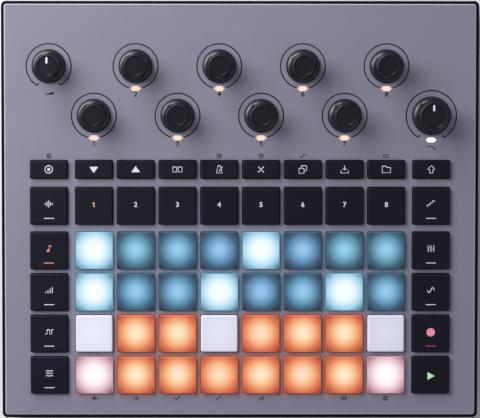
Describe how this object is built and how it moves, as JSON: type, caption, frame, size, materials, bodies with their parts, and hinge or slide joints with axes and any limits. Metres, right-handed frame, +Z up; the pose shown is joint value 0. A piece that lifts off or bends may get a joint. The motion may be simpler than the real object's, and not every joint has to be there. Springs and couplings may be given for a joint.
{
  "type": "audio sampler",
  "caption": "Flat desktop audio sampler with a grid of lit silicone pads, rows of black keys, flared dials with lit windows, and a rear row of sockets.",
  "frame": {"origin": "centre of the footprint, at the underside of the feet", "axes": "+X to the user's right, +Y to the rear, +Z up"},
  "size_m": [0.24, 0.21, 0.045],
  "materials": {
    "case_black": "fine moulded texture",
    "panel_grey": "satin paint, lavender grey",
    "key_black": "satin",
    "dial_black": "satin, soft touch",
    "pad_bright": "silicone, lit bright blue",
    "pad_blue": "silicone, lit dim blue",
    "pad_orange": "silicone, lit orange",
    "pad_pink": "silicone, lit pink",
    "pad_white": "silicone, lit faint white",
    "window_lit": "clear, lit from below",
    "board_green": "solder mask",
    "rotary_metal": "plated",
    "socket_black": "smooth",
    "socket_steel": "plated",
    "battery_wrap": "shrink wrap",
    "screw_steel": "black plated",
    "foot_rubber": "matt"
  },
  "bodies": {
    "case": {"lower_case": "case_black", "top_panel": "panel_grey", "rear_panel": "case_black", "main_board": "board_green", "rotary_bodies": "rotary_metal", "light_windows": "window_lit", "audio_jacks": "socket_black", "mini_jacks": "socket_black", "five_pin_sockets": "socket_black", "usb_socket": "socket_steel", "battery_pack": "battery_wrap", "case_screws": "screw_steel", "rubber_feet": "foot_rubber"},
    "volume_dial": {"volume_dial": "dial_black"},
    "filter_dial": {"filter_dial": "dial_black"},
    "encoder_dial_1": {"encoder_dial_1": "dial_black"},
    "encoder_dial_2": {"encoder_dial_2": "dial_black"},
    "encoder_dial_3": {"encoder_dial_3": "dial_black"},
    "encoder_dial_4": {"encoder_dial_4": "dial_black"},
    "encoder_dial_5": {"encoder_dial_5": "dial_black"},
    "encoder_dial_6": {"encoder_dial_6": "dial_black"},
    "encoder_dial_7": {"encoder_dial_7": "dial_black"},
    "encoder_dial_8": {"encoder_dial_8": "dial_black"},
    "function_row_keys": {"function_row_keys": "key_black"},
    "track_row_keys": {"track_row_keys": "key_black"},
    "left_keys": {"left_keys": "key_black"},
    "right_keys": {"right_keys": "key_black"},
    "power_button": {"power_button": "key_black"},
    "pad_01": {"pad_01": "pad_pink"},
    "pad_02": {"pad_02": "pad_orange"},
    "pad_03": {"pad_03": "pad_orange"},
    "pad_04": {"pad_04": "pad_orange"},
    "pad_05": {"pad_05": "pad_orange"},
    "pad_06": {"pad_06": "pad_orange"},
    "pad_07": {"pad_07": "pad_orange"},
    "pad_08": {"pad_08": "pad_pink"},
    "pad_09": {"pad_09": "pad_white"},
    "pad_10": {"pad_10": "pad_orange"},
    "pad_11": {"pad_11": "pad_orange"},
    "pad_12": {"pad_12": "pad_white"},
    "pad_13": {"pad_13": "pad_orange"},
    "pad_14": {"pad_14": "pad_orange"},
    "pad_15": {"pad_15": "pad_orange"},
    "pad_16": {"pad_16": "pad_white"},
    "pad_17": {"pad_17": "pad_bright"},
    "pad_18": {"pad_18": "pad_blue"},
    "pad_19": {"pad_19": "pad_blue"},
    "pad_20": {"pad_20": "pad_bright"},
    "pad_21": {"pad_21": "pad_blue"},
    "pad_22": {"pad_22": "pad_blue"},
    "pad_23": {"pad_23": "pad_bright"},
    "pad_24": {"pad_24": "pad_blue"},
    "pad_25": {"pad_25": "pad_bright"},
    "pad_26": {"pad_26": "pad_blue"},
    "pad_27": {"pad_27": "pad_blue"},
    "pad_28": {"pad_28": "pad_blue"},
    "pad_29": {"pad_29": "pad_bright"},
    "pad_30": {"pad_30": "pad_blue"},
    "pad_31": {"pad_31": "pad_blue"},
    "pad_32": {"pad_32": "pad_blue"}
  },
  "joints": [
    {"name": "volume_turn", "type": "hinge", "parent": "case", "child": "volume_dial", "pos_m": [-0.0961, 0.0723, 0.035], "axis": [0, 0, 1], "range_deg": [-150, 150]},
    {"name": "filter_turn", "type": "hinge", "parent": "case", "child": "filter_dial", "pos_m": [0.0961, 0.0475, 0.035], "axis": [0, 0, 1], "range_deg": [-150, 150]},
    {"name": "encoder_1_turn", "type": "hinge", "parent": "case", "child": "encoder_dial_1", "pos_m": [-0.0735, 0.0475, 0.035], "axis": [0, 0, 1], "continuous": true},
    {"name": "encoder_2_turn", "type": "hinge", "parent": "case", "child": "encoder_dial_2", "pos_m": [-0.0525, 0.0723, 0.035], "axis": [0, 0, 1], "continuous": true},
    {"name": "encoder_3_turn", "type": "hinge", "parent": "case", "child": "encoder_dial_3", "pos_m": [-0.0315, 0.0475, 0.035], "axis": [0, 0, 1], "continuous": true},
    {"name": "encoder_4_turn", "type": "hinge", "parent": "case", "child": "encoder_dial_4", "pos_m": [-0.0105, 0.0723, 0.035], "axis": [0, 0, 1], "continuous": true},
    {"name": "encoder_5_turn", "type": "hinge", "parent": "case", "child": "encoder_dial_5", "pos_m": [0.0105, 0.0475, 0.035], "axis": [0, 0, 1], "continuous": true},
    {"name": "encoder_6_turn", "type": "hinge", "parent": "case", "child": "encoder_dial_6", "pos_m": [0.0315, 0.0723, 0.035], "axis": [0, 0, 1], "continuous": true},
    {"name": "encoder_7_turn", "type": "hinge", "parent": "case", "child": "encoder_dial_7", "pos_m": [0.0525, 0.0475, 0.035], "axis": [0, 0, 1], "continuous": true},
    {"name": "encoder_8_turn", "type": "hinge", "parent": "case", "child": "encoder_dial_8", "pos_m": [0.0735, 0.0723, 0.035], "axis": [0, 0, 1], "continuous": true},
    {"name": "function_row_press", "type": "slide", "parent": "case", "child": "function_row_keys", "axis": [0, 0, -1], "range_m": [0, 0.001], "stiffness_N_per_m": 1500, "springref_m": -0.0004},
    {"name": "track_row_press", "type": "slide", "parent": "case", "child": "track_row_keys", "axis": [0, 0, -1], "range_m": [0, 0.001], "stiffness_N_per_m": 1500, "springref_m": -0.0004},
    {"name": "left_press", "type": "slide", "parent": "case", "child": "left_keys", "axis": [0, 0, -1], "range_m": [0, 0.001], "stiffness_N_per_m": 1500, "springref_m": -0.0004},
    {"name": "right_press", "type": "slide", "parent": "case", "child": "right_keys", "axis": [0, 0, -1], "range_m": [0, 0.001], "stiffness_N_per_m": 1500, "springref_m": -0.0004},
    {"name": "power_press", "type": "slide", "parent": "case", "child": "power_button", "axis": [0, -1, 0], "range_m": [0, 0.0012], "stiffness_N_per_m": 800, "springref_m": -0.0004},
    {"name": "pad_01_press", "type": "slide", "parent": "case", "child": "pad_01", "axis": [0, 0, -1], "range_m": [0, 0.0008], "stiffness_N_per_m": 1200, "springref_m": -0.0004},
    {"name": "pad_02_press", "type": "slide", "parent": "case", "child": "pad_02", "axis": [0, 0, -1], "range_m": [0, 0.0008], "stiffness_N_per_m": 1200, "springref_m": -0.0004},
    {"name": "pad_03_press", "type": "slide", "parent": "case", "child": "pad_03", "axis": [0, 0, -1], "range_m": [0, 0.0008], "stiffness_N_per_m": 1200, "springref_m": -0.0004},
    {"name": "pad_04_press", "type": "slide", "parent": "case", "child": "pad_04", "axis": [0, 0, -1], "range_m": [0, 0.0008], "stiffness_N_per_m": 1200, "springref_m": -0.0004},
    {"name": "pad_05_press", "type": "slide", "parent": "case", "child": "pad_05", "axis": [0, 0, -1], "range_m": [0, 0.0008], "stiffness_N_per_m": 1200, "springref_m": -0.0004},
    {"name": "pad_06_press", "type": "slide", "parent": "case", "child": "pad_06", "axis": [0, 0, -1], "range_m": [0, 0.0008], "stiffness_N_per_m": 1200, "springref_m": -0.0004},
    {"name": "pad_07_press", "type": "slide", "parent": "case", "child": "pad_07", "axis": [0, 0, -1], "range_m": [0, 0.0008], "stiffness_N_per_m": 1200, "springref_m": -0.0004},
    {"name": "pad_08_press", "type": "slide", "parent": "case", "child": "pad_08", "axis": [0, 0, -1], "range_m": [0, 0.0008], "stiffness_N_per_m": 1200, "springref_m": -0.0004},
    {"name": "pad_09_press", "type": "slide", "parent": "case", "child": "pad_09", "axis": [0, 0, -1], "range_m": [0, 0.0008], "stiffness_N_per_m": 1200, "springref_m": -0.0004},
    {"name": "pad_10_press", "type": "slide", "parent": "case", "child": "pad_10", "axis": [0, 0, -1], "range_m": [0, 0.0008], "stiffness_N_per_m": 1200, "springref_m": -0.0004},
    {"name": "pad_11_press", "type": "slide", "parent": "case", "child": "pad_11", "axis": [0, 0, -1], "range_m": [0, 0.0008], "stiffness_N_per_m": 1200, "springref_m": -0.0004},
    {"name": "pad_12_press", "type": "slide", "parent": "case", "child": "pad_12", "axis": [0, 0, -1], "range_m": [0, 0.0008], "stiffness_N_per_m": 1200, "springref_m": -0.0004},
    {"name": "pad_13_press", "type": "slide", "parent": "case", "child": "pad_13", "axis": [0, 0, -1], "range_m": [0, 0.0008], "stiffness_N_per_m": 1200, "springref_m": -0.0004},
    {"name": "pad_14_press", "type": "slide", "parent": "case", "child": "pad_14", "axis": [0, 0, -1], "range_m": [0, 0.0008], "stiffness_N_per_m": 1200, "springref_m": -0.0004},
    {"name": "pad_15_press", "type": "slide", "parent": "case", "child": "pad_15", "axis": [0, 0, -1], "range_m": [0, 0.0008], "stiffness_N_per_m": 1200, "springref_m": -0.0004},
    {"name": "pad_16_press", "type": "slide", "parent": "case", "child": "pad_16", "axis": [0, 0, -1], "range_m": [0, 0.0008], "stiffness_N_per_m": 1200, "springref_m": -0.0004},
    {"name": "pad_17_press", "type": "slide", "parent": "case", "child": "pad_17", "axis": [0, 0, -1], "range_m": [0, 0.0008], "stiffness_N_per_m": 1200, "springref_m": -0.0004},
    {"name": "pad_18_press", "type": "slide", "parent": "case", "child": "pad_18", "axis": [0, 0, -1], "range_m": [0, 0.0008], "stiffness_N_per_m": 1200, "springref_m": -0.0004},
    {"name": "pad_19_press", "type": "slide", "parent": "case", "child": "pad_19", "axis": [0, 0, -1], "range_m": [0, 0.0008], "stiffness_N_per_m": 1200, "springref_m": -0.0004},
    {"name": "pad_20_press", "type": "slide", "parent": "case", "child": "pad_20", "axis": [0, 0, -1], "range_m": [0, 0.0008], "stiffness_N_per_m": 1200, "springref_m": -0.0004},
    {"name": "pad_21_press", "type": "slide", "parent": "case", "child": "pad_21", "axis": [0, 0, -1], "range_m": [0, 0.0008], "stiffness_N_per_m": 1200, "springref_m": -0.0004},
    {"name": "pad_22_press", "type": "slide", "parent": "case", "child": "pad_22", "axis": [0, 0, -1], "range_m": [0, 0.0008], "stiffness_N_per_m": 1200, "springref_m": -0.0004},
    {"name": "pad_23_press", "type": "slide", "parent": "case", "child": "pad_23", "axis": [0, 0, -1], "range_m": [0, 0.0008], "stiffness_N_per_m": 1200, "springref_m": -0.0004},
    {"name": "pad_24_press", "type": "slide", "parent": "case", "child": "pad_24", "axis": [0, 0, -1], "range_m": [0, 0.0008], "stiffness_N_per_m": 1200, "springref_m": -0.0004},
    {"name": "pad_25_press", "type": "slide", "parent": "case", "child": "pad_25", "axis": [0, 0, -1], "range_m": [0, 0.0008], "stiffness_N_per_m": 1200, "springref_m": -0.0004},
    {"name": "pad_26_press", "type": "slide", "parent": "case", "child": "pad_26", "axis": [0, 0, -1], "range_m": [0, 0.0008], "stiffness_N_per_m": 1200, "springref_m": -0.0004},
    {"name": "pad_27_press", "type": "slide", "parent": "case", "child": "pad_27", "axis": [0, 0, -1], "range_m": [0, 0.0008], "stiffness_N_per_m": 1200, "springref_m": -0.0004},
    {"name": "pad_28_press", "type": "slide", "parent": "case", "child": "pad_28", "axis": [0, 0, -1], "range_m": [0, 0.0008], "stiffness_N_per_m": 1200, "springref_m": -0.0004},
    {"name": "pad_29_press", "type": "slide", "parent": "case", "child": "pad_29", "axis": [0, 0, -1], "range_m": [0, 0.0008], "stiffness_N_per_m": 1200, "springref_m": -0.0004},
    {"name": "pad_30_press", "type": "slide", "parent": "case", "child": "pad_30", "axis": [0, 0, -1], "range_m": [0, 0.0008], "stiffness_N_per_m": 1200, "springref_m": -0.0004},
    {"name": "pad_31_press", "type": "slide", "parent": "case", "child": "pad_31", "axis": [0, 0, -1], "range_m": [0, 0.0008], "stiffness_N_per_m": 1200, "springref_m": -0.0004},
    {"name": "pad_32_press", "type": "slide", "parent": "case", "child": "pad_32", "axis": [0, 0, -1], "range_m": [0, 0.0008], "stiffness_N_per_m": 1200, "springref_m": -0.0004}
  ]
}
